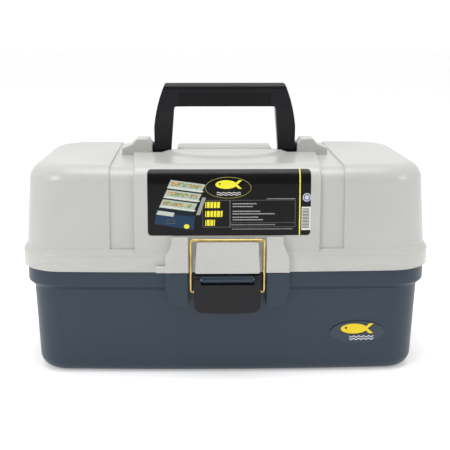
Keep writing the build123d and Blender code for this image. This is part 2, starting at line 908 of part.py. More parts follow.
with BuildPart() as latch_bail:
    with BuildLine() as wire_path:
        foot = (lever_half - bail_grip, bail_pivot_y, bail_pivot_z)
        FilletPolyline(
            (-foot[0], bail_pivot_y, bail_pivot_z),
            (-bail_half, bail_pivot_y, bail_pivot_z),
            (-bail_half, bail_bar_y, bail_bar_z),
            (bail_half, bail_bar_y, bail_bar_z),
            (bail_half, bail_pivot_y, bail_pivot_z),
            foot,
            radius=wire_bend - wire_radius,
        )
    with BuildSketch(Plane(origin=wire_path.line @ 0, z_dir=wire_path.line % 0)):
        Circle(wire_radius)
    sweep()
write_node(latch_bail.part, "latch_bail")


# ---- lift arms and links ------------------------------------------------------------

for side, hand in ((-1, "left"), (1, "right")):
    for name, pivot, rivets in (
        ("front_arm", tub_pivots[0], front_tray_pivots),
        ("rear_arm", tub_pivots[1], rear_tray_pivots),
    ):
        holes = [pivot, *rivets]
        if name == "rear_arm":
            holes.append(link_start)
        with BuildPart() as arm:
            add(flat_bar(pivot, rivets[-1], arm_half_width, arm_plane, arm_thickness, side))
            add(
                side_rods(
                    holes,
                    rivet_radius + pin_clearance,
                    arm_plane - merge_depth,
                    arm_outer + merge_depth,
                ),
                mode=Mode.SUBTRACT,
            )
        write_node(arm.part, f"{hand}_{name}")
    with BuildPart() as link:
        add(flat_bar(link_start, link_end, link_half_width, link_plane, link_thickness, side))
        add(
            side_rods(
                [link_start, link_end],
                rivet_radius + pin_clearance,
                link_plane - merge_depth,
                link_outer + merge_depth,
            ),
            mode=Mode.SUBTRACT,
        )
    write_node(link.part, f"{hand}_lid_link")

with BuildPart() as link_arm_rivets:
    add(side_rods([link_start], rivet_radius, arm_plane - rivet_gap, link_outer + rivet_gap))
    add(
        side_rods(
            [link_start], rivet_head_radius, arm_plane - rivet_gap - rivet_head / 2,
            arm_plane - rivet_gap,
        )
    )
    add(
        side_rods(
            [link_start], rivet_head_radius, link_outer + rivet_gap,
            link_outer + rivet_gap + rivet_head,
        )
    )
write_node(link_arm_rivets.part, "link_arm_rivets")


# ---- trays --------------------------------------------------------------------------

tray_middle = tray_front + tray_depth / 2
rib_y = tray_middle + rib_offset


def tray_plan(height, inset):
    """Plan outline of a tray at a height, moved in by inset."""
    with BuildSketch(Plane.XY.offset(height)) as plan:
        with Locations((0, tray_middle)):
            RectangleRounded(
                2 * (tray_half_length - inset), tray_depth - 2 * inset, tray_corner - inset
            )
    return plan.sketch


for level, name in enumerate(("lower", "middle", "upper")):
    pivots = [front_tray_pivots[level], rear_tray_pivots[level]]
    floor = pivots[0][1] - tray_pivot_height
    inside = floor + tray_wall
    row_front = (tray_front + tray_wall, rib_y - tray_wall / 2)
    row_back = (rib_y + tray_wall / 2, tray_front + tray_depth - tray_wall)

    with BuildPart() as tray:
        extrude(tray_plan(floor, 0), amount=tray_height)
        fillet(tray.faces().sort_by(Axis.Z)[0].edges(), tray_bottom_round)
        extrude(tray_plan(inside, tray_wall), amount=tray_height, mode=Mode.SUBTRACT)
        # long rib between the two rows
        with BuildSketch(Plane.XY.offset(inside)):
            with Locations((0, rib_y)):
                Rectangle(2 * tray_half_length - tray_wall, tray_wall)
        extrude(amount=tray_height - tray_wall - divider_drop)
        # bosses that space the tray from the arms and take the rivets
        add(
            side_rods(
                pivots, pivot_boss_radius, tray_half_length - rivet_grip, arm_plane - rivet_gap
            )
        )
        add(
            side_rods(
                pivots,
                rivet_radius + press_clearance,
                tray_half_length - rivet_grip + tray_wall,
                arm_plane,
            ),
            mode=Mode.SUBTRACT,
        )
    write_node(tray.part, f"{name}_tray")

    with BuildPart() as dividers:
        for (front, back), bays in ((row_front, front_bays[level]), (row_back, back_bays[level])):
            pitch = 2 * (tray_half_length - rivet_grip) / bays
            with BuildSketch(Plane.XY.offset(inside)):
                with Locations((0, (front + back) / 2)):
                    with GridLocations(pitch, 1, bays - 1, 1):
                        Rectangle(divider_thickness, back - front - 2 * divider_clearance)
            extrude(amount=tray_height - tray_wall - divider_drop)
    write_node(dividers.part, f"{name}_tray_dividers")

    with BuildPart() as rivets:
        add(
            side_rods(
                pivots,
                rivet_radius,
                tray_half_length - rivet_grip + tray_wall + merge_depth,
                arm_outer + rivet_gap,
            )
        )
        add(
            side_rods(
                pivots, rivet_head_radius, arm_outer + rivet_gap, arm_outer + rivet_gap + rivet_head
            )
        )
    write_node(rivets.part, f"{name}_tray_rivets")
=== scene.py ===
import json
from math import cos, pi, radians, sin

import bmesh
import bpy
from mathutils import Matrix, Vector


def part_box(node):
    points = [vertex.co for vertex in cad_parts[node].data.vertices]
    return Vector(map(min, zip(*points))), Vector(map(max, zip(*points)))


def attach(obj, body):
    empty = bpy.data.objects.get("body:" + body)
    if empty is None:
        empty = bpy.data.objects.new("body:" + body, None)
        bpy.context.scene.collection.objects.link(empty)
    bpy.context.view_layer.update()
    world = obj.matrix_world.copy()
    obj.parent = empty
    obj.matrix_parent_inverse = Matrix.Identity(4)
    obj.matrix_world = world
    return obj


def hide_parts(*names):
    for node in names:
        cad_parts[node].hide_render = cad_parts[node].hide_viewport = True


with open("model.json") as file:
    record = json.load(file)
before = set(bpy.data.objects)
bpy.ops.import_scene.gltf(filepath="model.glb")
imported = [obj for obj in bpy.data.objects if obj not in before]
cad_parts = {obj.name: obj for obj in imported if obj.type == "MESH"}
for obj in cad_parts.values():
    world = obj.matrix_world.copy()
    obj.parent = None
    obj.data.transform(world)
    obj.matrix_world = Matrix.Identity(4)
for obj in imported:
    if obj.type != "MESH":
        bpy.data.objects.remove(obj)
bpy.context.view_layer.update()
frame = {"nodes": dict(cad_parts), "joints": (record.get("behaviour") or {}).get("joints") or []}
parts = frame["nodes"]
pivots = {joint["name"]: Vector(joint["pos_m"]) for joint in frame["joints"]}

# ---- Room ---------------------------------------------------------------------------
# A pale paper floor, an even white room that is dimmer in front of the box, broad soft
# lights above and in front, and a camera a metre away that looks slightly down.

bpy.context.scene.view_settings.view_transform = "Standard"

floor_half_size = 12.0
room = bpy.data.meshes.new("room")
build = bmesh.new()
bmesh.ops.create_grid(build, x_segments=1, y_segments=1, size=floor_half_size)
build.to_mesh(room)
build.free()
floor = bpy.data.objects.new("room_floor", room)
bpy.context.scene.collection.objects.link(floor)

paper = bpy.data.materials.new("pale_paper")
paper.use_nodes = True
paper_shader = paper.node_tree.nodes["Principled BSDF"]
paper_shader.inputs["Base Color"].default_value = (0.93, 0.93, 0.93, 1)
paper_shader.inputs["Roughness"].default_value = 0.8
paper_shader.inputs["Specular IOR Level"].default_value = 0.2
paper_shader.inputs["Emission Color"].default_value = (1, 1, 1, 1)
paper_shader.inputs["Emission Strength"].default_value = 0.3
room.materials.append(paper)

world = bpy.data.worlds.new("room_light")
bpy.context.scene.world = world
world.use_nodes = True
sky = world.node_tree
sky_way = sky.nodes.new("ShaderNodeTexCoord")
sky_axes = sky.nodes.new("ShaderNodeSeparateXYZ")
sky_level = sky.nodes.new("ShaderNodeMapRange")
sky_level.inputs["From Min"].default_value = -0.7
sky_level.inputs["From Max"].default_value = 0.3
sky_level.inputs["To Min"].default_value = 0.22
sky_level.inputs["To Max"].default_value = 1.02
sky.links.new(sky_way.outputs["Generated"], sky_axes.inputs[0])
sky.links.new(sky_axes.outputs["Y"], sky_level.inputs["Value"])
sky.links.new(sky_level.outputs["Result"], sky.nodes["Background"].inputs["Strength"])
sky.nodes["Background"].inputs["Color"].default_value = (1, 1, 1, 1)


def soft_box(name, place, target, size, power):
    """A square soft light at a place, turned towards a target."""
    lamp = bpy.data.lights.new(name, "AREA")
    lamp.shape = "SQUARE"
    lamp.size = size
    lamp.energy = power
    stand = bpy.data.objects.new(name, lamp)
    stand.location = place
    stand.rotation_euler = (Vector(target) - Vector(place)).to_track_quat("-Z", "Y").to_euler()
    bpy.context.scene.collection.objects.link(stand)


box_middle = (0, 0, 0.14)
soft_box("top_light", (0.0, -0.3, 1.7), box_middle, size=1.0, power=15)
soft_box("front_left_light", (-1.5, -1.3, 1.2), box_middle, size=0.6, power=13)
soft_box("front_right_light", (1.7, -0.9, 0.8), box_middle, size=0.5, power=6)

look_down = 13.204
look_aside = -0.935
lens = bpy.data.cameras.new("camera")
lens.lens = 67.03
lens.sensor_width = 36.0
lens.shift_x = 0.0216
camera = bpy.data.objects.new("camera", lens)
camera.location = (-0.02764, -1.0065, 0.38438)
camera.rotation_euler = (radians(90 - look_down), 0, radians(look_aside))
bpy.context.scene.collection.objects.link(camera)
bpy.context.scene.camera = camera


# ---- Tub ----------------------------------------------------------------------------
# The tub is one injection moulding in slate blue-grey plastic with a fine spark-eroded
# texture. It is scuffed where it stands and slides, near the bottom.

mm = 0.001
fine_texture = 2400.0


def new_material(name):
    """A material with its node tree and shader."""
    made = bpy.data.materials.new(name)
    made.use_nodes = True
    return made, made.node_tree, made.node_tree.nodes["Principled BSDF"]


def feed(tree, socket, value):
    """Set a socket to a number or a colour, or link another socket to it."""
    if isinstance(value, tuple):
        socket.default_value = (*value, 1)
    elif isinstance(value, (int, float)):
        socket.default_value = value
    else:
        tree.links.new(value, socket)


def calc(tree, operation, *values):
    """A math node with numbers or sockets as its inputs."""
    node = tree.nodes.new("ShaderNodeMath")
    node.operation = operation
    for socket, value in zip(node.inputs, values):
        feed(tree, socket, value)
    return node.outputs[0]


def object_axes(tree):
    """The X, Y and Z sockets of the object coordinates."""
    place = tree.nodes.new("ShaderNodeTexCoord")
    axes = tree.nodes.new("ShaderNodeSeparateXYZ")
    tree.links.new(place.outputs["Object"], axes.inputs[0])
    return axes.outputs


def noise(tree, scale, detail=3.0, stretch=(1.0, 1.0, 1.0)):
    """Noise on object coordinates, in features per metre, finer along stretched axes."""
    place = tree.nodes.new("ShaderNodeTexCoord")
    mapping = tree.nodes.new("ShaderNodeMapping")
    mapping.inputs["Scale"].default_value = stretch
    cloud = tree.nodes.new("ShaderNodeTexNoise")
    cloud.inputs["Scale"].default_value = scale
    cloud.inputs["Detail"].default_value = detail
    tree.links.new(place.outputs["Object"], mapping.inputs["Vector"])
    tree.links.new(mapping.outputs["Vector"], cloud.inputs["Vector"])
    return cloud.outputs["Fac"]


def blend(tree, factor, first, second):
    """Mix of two colours by a factor."""
    mix = tree.nodes.new("ShaderNodeMix")
    mix.data_type = "RGBA"
    feed(tree, mix.inputs[0], factor)
    feed(tree, mix.inputs[6], first)
    feed(tree, mix.inputs[7], second)
    return mix.outputs[2]


def ramp(tree, value, low, high, out_low=0.0, out_high=1.0):
    """A value stretched from one range to another, held at both ends."""
    node = tree.nodes.new("ShaderNodeMapRange")
    node.inputs["From Min"].default_value = low
    node.inputs["From Max"].default_value = high
    node.inputs["To Min"].default_value = out_low
    node.inputs["To Max"].default_value = out_high
    tree.links.new(value, node.inputs["Value"])
    return node.outputs["Result"]


def raise_grain(tree, shader, height, strength, distance):
    """Bump the shader's surface by a height."""
    bump = tree.nodes.new("ShaderNodeBump")
    bump.inputs["Strength"].default_value = strength
    bump.inputs["Distance"].default_value = distance
    tree.links.new(height, bump.inputs["Height"])
    tree.links.new(bump.outputs["Normal"], shader.inputs["Normal"])


def moulded_plastic(name, colour, rubbed, roughness, specular, rub_axis, rub_from, rub_to):
    """Textured moulded plastic, clouded a little and rubbed towards one place on an axis."""
    made, tree, shader = new_material(name)
    clouding = ramp(tree, noise(tree, scale=9.0, detail=4.0), low=0.35, high=0.65)
    cloud_shade = 0.93
    cloudy = blend(tree, clouding, tuple(channel * cloud_shade for channel in colour), colour)
    handled = ramp(tree, object_axes(tree)[rub_axis], rub_from, rub_to)
    streaks = noise(tree, scale=90.0, detail=3.0, stretch=(1.0, 1.0, 14.0))
    scratches = ramp(tree, streaks, low=0.6, high=0.78)
    scuff = calc(tree, "MULTIPLY", handled, scratches)
    feed(tree, shader.inputs["Base Color"], blend(tree, scuff, cloudy, rubbed))
    uneven = noise(tree, scale=7.0, detail=1.0)
    smoothest = roughness - 0.02
    roughest = roughness + 0.03
    patches = ramp(tree, uneven, low=0.2, high=0.8, out_low=smoothest, out_high=roughest)
    most_polish = 0.04
    polished = calc(tree, "MULTIPLY", handled, most_polish)
    feed(tree, shader.inputs["Roughness"], calc(tree, "SUBTRACT", patches, polished))
    grain = noise(tree, fine_texture, detail=2.0)
    raise_grain(tree, shader, grain, strength=0.3, distance=0.05 * mm)
    shader.inputs["Specular IOR Level"].default_value = specular
    return made


def finish_node(node, material):
    """Give every slot of a CAD piece one material."""
    slots = parts[node].data.materials
    if not len(slots):
        slots.append(material)
    for index in range(len(slots)):
        slots[index] = material


tub_plastic = moulded_plastic(
    "slate_tub_plastic",
    colour=(0.017, 0.032, 0.053),
    rubbed=(0.05, 0.07, 0.095),
    roughness=0.38,
    specular=0.4,
    rub_axis="Z",
    rub_from=22 * mm,
    rub_to=0.0,
)
finish_node("base_tub", tub_plastic)

# ---- Lid ----------------------------------------------------------------------------
# The lid is one moulding in warm light grey plastic with the same fine texture. The
# catch plate, pivot bosses and thumb lip are moulded on it, and its rim is rubbed.

lid_plastic = moulded_plastic(
    "pale_lid_plastic",
    colour=(0.49, 0.487, 0.468),
    rubbed=(0.44, 0.43, 0.41),
    roughness=0.3,
    specular=0.55,
    rub_axis="Z",
    rub_from=160 * mm,
    rub_to=124 * mm,
)
finish_node("lid_shell", lid_plastic)

# ---- Carry handle -------------------------------------------------------------------
# The handle is a moulding in near-black plastic that turns on two trunnions. The grip
# is polished by hands, and the shallow recessed panels in its front and back get a painted shade.

handle_plastic = moulded_plastic(
    "black_handle_plastic",
    colour=(0.0055, 0.006, 0.0085),
    rubbed=(0.014, 0.014, 0.016),
    roughness=0.36,
    specular=0.26,
    rub_axis="Z",
    rub_from=280 * mm,
    rub_to=320 * mm,
)
panel_half_length = 54.2 * mm
panel_middle = 302.4 * mm
panel_half_height = 8.0 * mm
# painted shade: the recessed grip panels are darkened in colour to stand in for the shade inside
# them
recess_painted_shade = (0.0012, 0.0012, 0.0018)
handle_tree = handle_plastic.node_tree
handle_colour = handle_tree.nodes["Principled BSDF"].inputs["Base Color"]
handle_axes = object_axes(handle_tree)
along_grip = calc(handle_tree, "COMPARE", handle_axes["X"], 0.0, panel_half_length)
up_grip = calc(handle_tree, "COMPARE", handle_axes["Z"], panel_middle, panel_half_height)
grip_recess_shade_mask = calc(handle_tree, "MULTIPLY", along_grip, up_grip)
plain_black = handle_colour.links[0].from_socket
feed(handle_tree, handle_colour, blend(handle_tree, grip_recess_shade_mask, plain_black, recess_painted_shade))
finish_node("carry_handle", handle_plastic)

# ---- Latch --------------------------------------------------------------------------
# A charcoal lever turns on a steel pin in the tub, and a brass-plated wire bail snaps
# over the catch plate.

lever_plastic = moulded_plastic(
    "charcoal_lever_plastic",
    colour=(0.009, 0.0078, 0.0098),
    rubbed=(0.026, 0.025, 0.026),
    roughness=0.45,
    specular=0.26,
    rub_axis="Z",
    rub_from=90 * mm,
    rub_to=79 * mm,
)
finish_node("latch_lever", lever_plastic)


def plated_metal(name, colour, dull, roughness, stretch):
    """Plated metal with fine drawn lines, duller patches and uneven polish."""
    made, tree, shader = new_material(name)
    shader.inputs["Metallic"].default_value = 1.0
    lines = noise(tree, scale=20.0, detail=3.0, stretch=stretch)
    tarnish = ramp(tree, noise(tree, scale=120.0, detail=5.0), low=0.45, high=0.75, out_high=0.6)
    feed(tree, shader.inputs["Base Color"], blend(tree, tarnish, colour, dull))
    smoothest = roughness - 0.06
    roughest = roughness + 0.1
    polish = ramp(tree, lines, low=0.3, high=0.7, out_low=smoothest, out_high=roughest)
    feed(tree, shader.inputs["Roughness"], polish)
    raise_grain(tree, shader, lines, strength=0.2, distance=0.03 * mm)
    return made


brass_plate = plated_metal(
    "brass_plate",
    colour=(0.56, 0.43, 0.15),
    dull=(0.27, 0.19, 0.05),
    roughness=0.22,
    stretch=(40.0, 40.0, 40.0),
)
finish_node("latch_bail", brass_plate)

# ---- Lift arms and links ------------------------------------------------------------
# Each arm and link is a strip blanked from zinc-plated steel, with its edges tumbled
# round, and it hangs on rivets.

strip_steel = plated_metal(
    "zinc_strip",
    colour=(0.56, 0.57, 0.58),
    dull=(0.36, 0.35, 0.34),
    roughness=0.34,
    stretch=(2.0, 45.0, 45.0),
)
strip_edge = 0.5 * mm
strip_end_sides = 40
sharp_edge = radians(60)
flat_within = radians(1)
shade_as_sharp = radians(40)


def finish_piece(build, name, body, node, material):
    """Turn a bmesh into a shaded piece that rides on a body, and may stand for a node."""
    mesh = bpy.data.meshes.new(name)
    build.to_mesh(mesh)
    build.free()
    mesh.materials.append(material)
    mesh.shade_smooth()
    mesh.set_sharp_from_angle(angle=shade_as_sharp)
    piece = bpy.data.objects.new(name, mesh)
    bpy.context.scene.collection.objects.link(piece)
    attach(piece, body)
    if node:
        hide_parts(node)


def end_plug(build, node, place, half_width):
    """Round end of a strip about a pivot, as thick as its CAD piece."""
    low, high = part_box(node)
    middle = Vector(((low[0] + high[0]) / 2, place[1], place[2]))
    bmesh.ops.create_cone(
        build,
        cap_ends=True,
        segments=strip_end_sides,
        radius1=half_width,
        radius2=half_width,
        depth=high[0] - low[0],
        matrix=Matrix.Translation(middle) @ Matrix.Rotation(pi / 2, 4, "Y"),
    )


def blanked_strip(node, body, first, last, half_width):
    """Flat strip with round ends and tumbled edges that stands for a CAD arm or link."""
    build = bmesh.new()
    for place in (first, last):
        end_plug(build, node, place, half_width)
    hull = bmesh.ops.convex_hull(build, input=build.verts)
    spare = [item for item in hull["geom_interior"] if isinstance(item, bmesh.types.BMVert)]
    bmesh.ops.delete(build, geom=spare, context="VERTS")
    bmesh.ops.dissolve_limit(build, angle_limit=flat_within, verts=build.verts, edges=build.edges)
    rims = [edge for edge in build.edges if edge.calc_face_angle(0) > sharp_edge]
    bmesh.ops.bevel(
        build, geom=rims, offset=strip_edge, segments=3, profile=0.5, affect="EDGES", material=-1
    )
    bmesh.ops.recalc_face_normals(build, faces=build.faces)
    finish_piece(build, f"{node}_strip", body, node, strip_steel)


arm_half_width = 6.0 * mm
link_half_width = 5.0 * mm
front_foot = pivots["front_arm_lift"]
rear_foot = pivots["rear_arm_lift"]
link_top = pivots["lid_link_swing"]
front_to_rear = rear_foot - front_foot
tray_pivots = {
    level: (pivots[f"{level}_tray_level"] - front_to_rear, pivots[f"{level}_tray_level"])
    for level in ("lower", "middle", "upper")
}
front_top, rear_top = tray_pivots["upper"]
rivet_low, rivet_high = (Vector(corner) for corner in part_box("link_arm_rivets"))
link_foot = (rivet_low + rivet_high) / 2

for hand in ("left", "right"):
    blanked_strip(f"{hand}_front_arm", "front_arms", front_foot, front_top, arm_half_width)
    blanked_strip(f"{hand}_rear_arm", "rear_arms", rear_foot, rear_top, arm_half_width)
    blanked_strip(f"{hand}_lid_link", "lid_links", link_foot, link_top, link_half_width)

# ---- Rivets and pins ----------------------------------------------------------------
# The rivets are zinc-plated steel with domed heads, set loose enough for the arms to
# turn. The pins of the lid hinge and the latch are bright drawn steel.

bright_steel = plated_metal(
    "zinc_rivet",
    colour=(0.66, 0.66, 0.65),
    dull=(0.42, 0.41, 0.39),
    roughness=0.26,
    stretch=(30.0, 30.0, 30.0),
)
for pinned in ("hinge_pins", "latch_pin"):
    finish_node(pinned, bright_steel)

rivet_radius = 2.0 * mm
head_radius = 4.0 * mm
head_height = 1.4 * mm
dome_steps = 5
turn_steps = 28
weld_distance = 0.001 * mm


def turn_rivet(build, place, head_face, tail):
    """Turn one rivet about its axis, with its head at one x and its tail at another."""
    outward = 1 if head_face > tail else -1
    outline = [(tail, 0.0), (tail, rivet_radius), (head_face, rivet_radius)]
    for step in range(dome_steps + 1):
        angle = step * pi / 2 / dome_steps
        outline.append((head_face + outward * head_height * sin(angle), head_radius * cos(angle)))
    chain = [build.verts.new((x, place[1], place[2] + radius)) for x, radius in outline]
    edges = [build.edges.new(pair) for pair in zip(chain, chain[1:])]
    bmesh.ops.spin(
        build,
        geom=chain + edges,
        cent=(0, place[1], place[2]),
        axis=(1, 0, 0),
        angle=2 * pi,
        steps=turn_steps,
        use_merge=True,
    )


def rivet_set(node, body, places, head_face, tail):
    """The rivets of one CAD node, on both sides of the box."""
    build = bmesh.new()
    for side in (-1, 1):
        for place in places:
            turn_rivet(build, place, side * head_face, side * tail)
    bmesh.ops.remove_doubles(build, verts=build.verts, dist=weld_distance)
    bmesh.ops.recalc_face_normals(build, faces=build.faces)
    finish_piece(build, f"{node}_domed", body, node, bright_steel)


def half_width_of(node):
    """Half of a node's length along the box."""
    low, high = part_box(node)
    return (high[0] - low[0]) / 2


arm_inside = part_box("right_front_arm")[0][0]
arm_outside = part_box("right_front_arm")[1][0]
link_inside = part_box("right_lid_link")[0][0]
rivet_play = 0.2 * mm
tray_rivet_tail = 10.5 * mm

rivet_set(
    "base_arm_rivets",
    "base",
    (front_foot, rear_foot),
    head_face=arm_inside - rivet_play,
    tail=half_width_of("base_arm_rivets"),
)
rivet_set(
    "lid_link_rivets",
    "lid",
    (link_top,),
    head_face=link_inside - rivet_play,
    tail=half_width_of("lid_link_rivets"),
)
rivet_set(
    "link_arm_rivets",
    "rear_arms",
    (link_foot,),
    head_face=half_width_of("link_arm_rivets") - head_height,
    tail=arm_inside - 2 * rivet_play,
)
for level, places in tray_pivots.items():
    rivet_set(
        f"{level}_tray_rivets",
        f"{level}_tray",
        places,
        head_face=half_width_of(f"{level}_tray_rivets") - head_height,
        tail=arm_outside - tray_rivet_tail,
    )

# ---- Trays --------------------------------------------------------------------------
# The trays and their dividers are moulded in pale grey plastic, a little glossier than
# the tub. Paired ribs down the walls of each row are the slots that a divider slides in.

tray_plastic = moulded_plastic(
    "pale_tray_plastic",
    colour=(0.52, 0.515, 0.48),
    rubbed=(0.46, 0.455, 0.43),
    roughness=0.34,
    specular=0.5,
    rub_axis="Z",
    rub_from=100 * mm,
    rub_to=300 * mm,
)
slot_rib = 1.2 * mm
slot_rib_depth = 1.0 * mm
slot_rib_edge = 0.3 * mm
slot_half = 1.1 * mm
slot_spacing = 25 * mm
tray_wall = 1.8 * mm
tray_end = 7.0 * mm
tray_arm_gap = 3.8 * mm
rib_middle = 53.0 * mm
rib_height = 23.0 * mm
bays_front_and_back = {"lower": (4, 3), "middle": (5, 2), "upper": (3, 4)}
half_run = arm_inside - tray_arm_gap - tray_end
rib_size = Matrix.Diagonal((slot_rib, slot_rib_depth, rib_height, 1.0))

for level, row_bays in bays_front_and_back.items():
    finish_node(f"{level}_tray", tray_plastic)
    finish_node(f"{level}_tray_dividers", tray_plastic)
    low, high = (Vector(corner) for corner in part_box(f"{level}_tray"))
    middle_rib = low[1] + rib_middle
    row_walls = (
        (low[1] + tray_wall, middle_rib - tray_wall / 2),
        (middle_rib + tray_wall / 2, high[1] - tray_wall),
    )
    rib_z = low[2] + tray_wall + rib_height / 2
    build = bmesh.new()
    for bays, walls in zip(row_bays, row_walls):
        slots = bays * round(2 * half_run / bays / slot_spacing)
        for index in range(1, slots):
            middle = -half_run + index * 2 * half_run / slots
            for side in (-1, 1):
                rib_x = middle + side * (slot_half + slot_rib / 2)
                for wall, inward in zip(walls, (1, -1)):
                    rib_y = wall + inward * slot_rib_depth / 2
                    place = Matrix.Translation(Vector((rib_x, rib_y, rib_z)))
                    bmesh.ops.create_cube(build, size=1.0, matrix=place @ rib_size)
    bmesh.ops.bevel(
        build,
        geom=build.edges,
        offset=slot_rib_edge,
        segments=1,
        profile=0.5,
        affect="EDGES",
        material=-1,
    )
    finish_piece(build, f"{level}_tray_slots", f"{level}_tray", None, tray_plastic)

# ---- Seal ---------------------------------------------------------------------------
# A black foam rubber cord is pressed into the groove of the tub rim, under the rim of
# the closed lid.

foam, foam_tree, foam_shader = new_material("foam_rubber")
foam_black = (0.01, 0.01, 0.01)
foam_worn = (0.03, 0.03, 0.03)
cells = ramp(foam_tree, noise(foam_tree, scale=1500.0, detail=4.0), low=0.35, high=0.65)
feed(foam_tree, foam_shader.inputs["Base Color"], blend(foam_tree, cells, foam_black, foam_worn))
foam_dullness = ramp(foam_tree, cells, low=0.0, high=1.0, out_low=0.7, out_high=0.9)
feed(foam_tree, foam_shader.inputs["Roughness"], foam_dullness)
raise_grain(foam_tree, foam_shader, cells, strength=0.6, distance=0.15 * mm)
finish_node("seal_ring", foam)

# ---- Label --------------------------------------------------------------------------
# A gloss film is printed and stuck to the front of the lid. On black it has a picture
# of an open box, a fish over waves in an oval, two framed panels and a yellow stripe.

label_black = (0.0035, 0.0035, 0.0035)
label_sheen = (0.006, 0.006, 0.006)
print_yellow = (0.83, 0.75, 0.045)
print_white = (0.7, 0.7, 0.68)
print_grey = (0.16, 0.16, 0.155)
wave_rate = 1.1

# the fish, in shares of half its body length
fish_height = 0.4
tail_place = 1.12
tail_spread = 0.2
tail_width = 0.32
tail_height = 0.4
tail_lean = 1.1
eye_place = 0.6
eye_rise = 0.07
eye_size = 0.09


class Print:
    """Flat printing on an upright face, laid over a ground colour in millimetres."""

    def __init__(self, tree, ground):
        self.tree = tree
        axes = object_axes(tree)
        self.x = calc(tree, "MULTIPLY", axes["X"], 1 / mm)
        self.z = calc(tree, "MULTIPLY", axes["Z"], 1 / mm)
        self.colour = ground

    def lay(self, mask, colour):
        """Lay a colour where a mask is one."""
        self.colour = blend(self.tree, mask, self.colour, colour)

    def both(self, first, second):
        """Where two masks meet."""
        return calc(self.tree, "MULTIPLY", first, second)

    def less(self, first, second):
        """Where the first mask is, less the second."""
        return calc(self.tree, "MULTIPLY", first, calc(self.tree, "SUBTRACT", 1.0, second))

    def panel(self, x, z, width, height, lean=0.0, tilt=0.0):
        """Four-sided patch about a middle, its sides leaning and its top and foot tilted."""
        across, up = self.x, self.z
        if lean:
            across = calc(self.tree, "MULTIPLY_ADD", self.z, -lean, self.x)
        if tilt:
            up = calc(self.tree, "MULTIPLY_ADD", self.x, -tilt, self.z)
        return self.both(
            calc(self.tree, "COMPARE", across, x - lean * z, width / 2),
            calc(self.tree, "COMPARE", up, z - tilt * x, height / 2),
        )

    def oval(self, x, z, half_width, half_height):
        """Filled oval."""
        across = calc(self.tree, "MULTIPLY_ADD", self.x, 1 / half_width, -x / half_width)
        up = calc(self.tree, "MULTIPLY_ADD", self.z, 1 / half_height, -z / half_height)
        up_squared = calc(self.tree, "MULTIPLY", up, up)
        squares = calc(self.tree, "MULTIPLY_ADD", across, across, up_squared)
        return calc(self.tree, "LESS_THAN", squares, 1.0)

    def ring(self, x, z, half_width, half_height, line):
        """Outline of an oval."""
        return self.less(
            self.oval(x, z, half_width, half_height),
            self.oval(x, z, half_width - line, half_height - line),
        )

    def frame(self, x, z, width, height, line):
        """Outline of a panel."""
        return self.less(
            self.panel(x, z, width, height), self.panel(x, z, width - 2 * line, height - 2 * line)
        )

    def blocks(self, value, pitch, share):
        """Stripes across a value, each a share of the pitch."""
        steps = calc(self.tree, "FRACT", calc(self.tree, "DIVIDE", value, pitch))
        return calc(self.tree, "LESS_THAN", steps, share)

    def wave(self, x, z, length, swing, line):
        """Wavy line about a middle."""
        turn = calc(self.tree, "SINE", calc(self.tree, "MULTIPLY", self.x, wave_rate))
        up = calc(self.tree, "SUBTRACT", self.z, calc(self.tree, "MULTIPLY", turn, swing))
        return self.both(
            calc(self.tree, "COMPARE", up, z, line / 2),
            calc(self.tree, "COMPARE", self.x, x, length / 2),
        )

    def fish(self, x, z, size, colour, eye):
        """Plain fish that faces left: an oval body, a forked tail and an eye."""
        tail_x = x + tail_place * size
        for fork in (-1, 1):
            tail_z = z + fork * tail_spread * size
            lean = fork * tail_lean
            self.lay(
                self.panel(tail_x, tail_z, tail_width * size, tail_height * size, lean), colour
            )
        self.lay(self.oval(x, z, size, fish_height * size), colour)
        eye_radius = eye_size * size
        self.lay(
            self.oval(x - eye_place * size, z + eye_rise * size, eye_radius, eye_radius), eye
        )


film, film_tree, film_shader = new_material("printed_film")
sheen_cloud = ramp(film_tree, noise(film_tree, scale=14.0, detail=2.0), low=0.3, high=0.7)
art = Print(film_tree, blend(film_tree, sheen_cloud, label_black, label_sheen))

# picture of the open box: tub, lid behind, tub mouth, things in it, a spot and a framed plate
art.lay(art.panel(-57.0, 182.0, 43.0, 15.5, lean=0.12, tilt=-0.16), (0.012, 0.04, 0.085))
art.lay(art.panel(-28.5, 197.0, 4.2, 19.0, lean=0.35), (0.3, 0.32, 0.3))
art.lay(art.panel(-55.5, 190.5, 40.0, 5.5, lean=0.3, tilt=-0.14), (0.006, 0.012, 0.02))
art.lay(art.panel(-67.0, 189.0, 19.0, 4.6, lean=0.4, tilt=-0.14), (0.5, 0.52, 0.48))
art.lay(art.oval(-44.2, 174.9, 2.9, 2.5), print_yellow)
art.lay(art.frame(-61.5, 180.2, 9.0, 4.4, line=0.5), (0.12, 0.11, 0.05))

# small bright things, red, yellow or green, that lie in the three trays
lures = film_tree.nodes.new("ShaderNodeTexVoronoi")
lures.inputs["Scale"].default_value = 420.0
lure_place = film_tree.nodes.new("ShaderNodeTexCoord")
film_tree.links.new(lure_place.outputs["Object"], lures.inputs["Vector"])
lure_axes = film_tree.nodes.new("ShaderNodeSeparateColor")
film_tree.links.new(lures.outputs["Color"], lure_axes.inputs[0])
lure_red = (0.5, 0.09, 0.02)
lure_yellow = (0.6, 0.45, 0.05)
lure_green = (0.12, 0.22, 0.04)
lure_strength = 0.75
lure_from = 0.42
green_from = 0.55
warm = blend(film_tree, lure_axes.outputs[1], lure_red, lure_yellow)
lure_gate = calc(film_tree, "GREATER_THAN", noise(film_tree, scale=330.0, detail=1.0), lure_from)
lure_choice = calc(film_tree, "GREATER_THAN", lure_axes.outputs[0], green_from)
lure_colour = blend(film_tree, lure_choice, warm, lure_green)
tray_lean = 0.5
tray_tilt = -0.13
